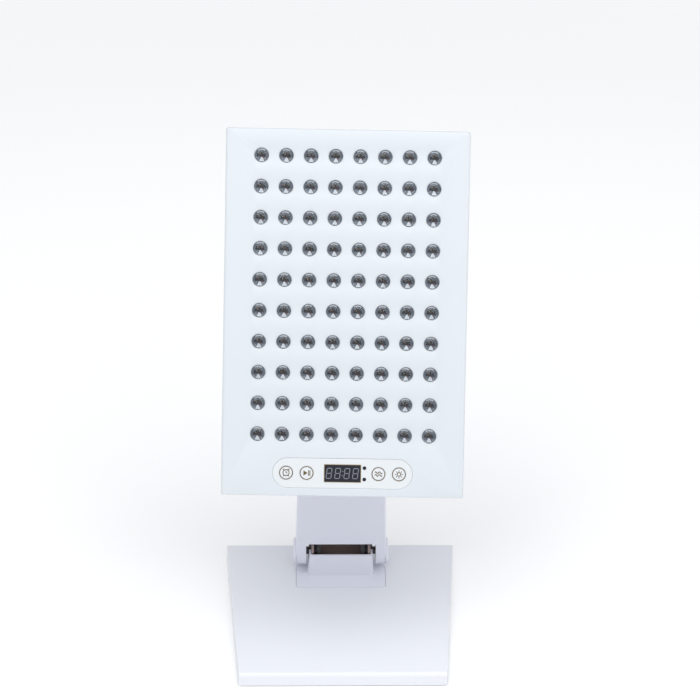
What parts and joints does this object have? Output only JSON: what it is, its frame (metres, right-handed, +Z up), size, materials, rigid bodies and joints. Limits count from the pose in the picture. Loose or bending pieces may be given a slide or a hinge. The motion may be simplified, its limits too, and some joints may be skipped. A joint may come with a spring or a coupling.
{
  "type": "desk light therapy lamp",
  "caption": "Flat rectangular light panel with a lens grid and a touch strip, on a flat hinged arm and a heavy square base; the arm tilts at both ends and the head swivels.",
  "frame": {"origin": "centre of the base's underside, on the surface it stands on", "axes": "+Z up, +X to the right seen from the front, +Y to the back, so the panel faces -Y and up"},
  "size_m": [0.2062, 0.2037, 0.4586],
  "materials": {
    "housing_white": "satin",
    "stand_white": "satin",
    "base_white": "satin",
    "black_rubber": "matt",
    "steel_weight": "plain",
    "bronzed_steel": "satin",
    "bright_steel": "satin",
    "black_oxide": "satin",
    "clear_lens": "clear",
    "circuit_board": "satin",
    "fin_aluminium": "satin",
    "strip_film": "satin",
    "display_black": "gloss",
    "black_plastic": "matt",
    "light_lens": "gloss",
    "switch_steel": "satin"
  },
  "bodies": {
    "stand_base": {"base_top_cover": "base_white", "base_bottom_cover": "base_white", "base_weight": "steel_weight", "non_slip_pad": "black_rubber", "base_hinge_cover": "stand_white", "base_hinge_bracket": "bronzed_steel", "base_friction_washers": "black_oxide"},
    "arm": {"arm_front_shell": "stand_white", "arm_rear_cover": "stand_white", "arm_base_bracket": "bronzed_steel", "arm_head_bracket": "bronzed_steel", "base_hinge_shafts": "bright_steel", "base_disc_springs": "black_oxide", "base_lock_nuts": "bright_steel", "base_hinge_caps": "stand_white", "head_hinge_shafts": "bright_steel", "head_disc_springs": "black_oxide", "head_lock_nuts": "bright_steel", "head_hinge_caps": "stand_white", "arm_cover_screws": "black_oxide"},
    "yoke": {"head_hinge_bracket": "bronzed_steel", "head_knuckle_cover": "stand_white", "head_friction_washers": "black_oxide"},
    "panel": {"front_housing": "housing_white", "rear_cover": "housing_white", "lens_array": "clear_lens", "led_board": "circuit_board", "heat_sink": "fin_aluminium", "control_strip": "strip_film", "indicator_lights": "light_lens", "key_switches": "switch_steel", "display_module": "display_black", "control_board": "circuit_board", "upper_fan_frame": "black_plastic", "lower_fan_frame": "black_plastic", "mains_inlet": "black_plastic", "rocker_frame": "black_plastic", "power_supply": "fin_aluminium", "swivel_mount_plate": "bright_steel", "swivel_pivot": "bright_steel", "swivel_nut": "bright_steel", "rear_cover_screws": "black_oxide"},
    "timer_button": {"timer_key": "strip_film"},
    "start_button": {"start_key": "strip_film"},
    "mode_button": {"mode_key": "strip_film"},
    "light_button": {"light_key": "strip_film"},
    "mains_rocker": {"power_rocker": "black_plastic"},
    "upper_rotor": {"upper_fan_rotor": "black_plastic"},
    "lower_rotor": {"lower_fan_rotor": "black_plastic"}
  },
  "joints": [
    {"name": "arm_tilt", "type": "hinge", "parent": "stand_base", "child": "arm", "pos_m": [0, 0.0602, 0.031], "axis": [1, 0, 0], "range_deg": [-20, 45]},
    {"name": "head_tilt", "type": "hinge", "parent": "arm", "child": "yoke", "pos_m": [0, 0.0602, 0.2895], "axis": [-1, 0, 0], "range_deg": [-30, 60]},
    {"name": "head_swivel", "type": "hinge", "parent": "yoke", "child": "panel", "pos_m": [0, 0.0602, 0.2895], "axis": [0, -0.8695, 0.4939], "range_deg": [-90, 90]},
    {"name": "upper_fan_spin", "type": "hinge", "parent": "panel", "child": "upper_rotor", "pos_m": [0.00143, 0.07113, 0.37758], "axis": [0, -0.8695, 0.4939], "continuous": true},
    {"name": "lower_fan_spin", "type": "hinge", "parent": "panel", "child": "lower_rotor", "pos_m": [-0.00126, -0.00492, 0.2437], "axis": [0, -0.8695, 0.4939], "continuous": true},
    {"name": "power_switch", "type": "hinge", "parent": "panel", "child": "mains_rocker", "pos_m": [-0.04426, -0.02712, 0.19046], "axis": [0.9998, -0.0086, -0.0152], "range_deg": [0, 12]},
    {"name": "timer_press", "type": "slide", "parent": "panel", "child": "timer_button", "axis": [0, 0.8695, -0.4939], "range_m": [0, 0.0004], "stiffness_N_per_m": 1500, "springref_m": -0.0004},
    {"name": "start_press", "type": "slide", "parent": "panel", "child": "start_button", "axis": [0, 0.8695, -0.4939], "range_m": [0, 0.0004], "stiffness_N_per_m": 1500, "springref_m": -0.0004},
    {"name": "mode_press", "type": "slide", "parent": "panel", "child": "mode_button", "axis": [0, 0.8695, -0.4939], "range_m": [0, 0.0004], "stiffness_N_per_m": 1500, "springref_m": -0.0004},
    {"name": "light_press", "type": "slide", "parent": "panel", "child": "light_button", "axis": [0, 0.8695, -0.4939], "range_m": [0, 0.0004], "stiffness_N_per_m": 1500, "springref_m": -0.0004}
  ]
}
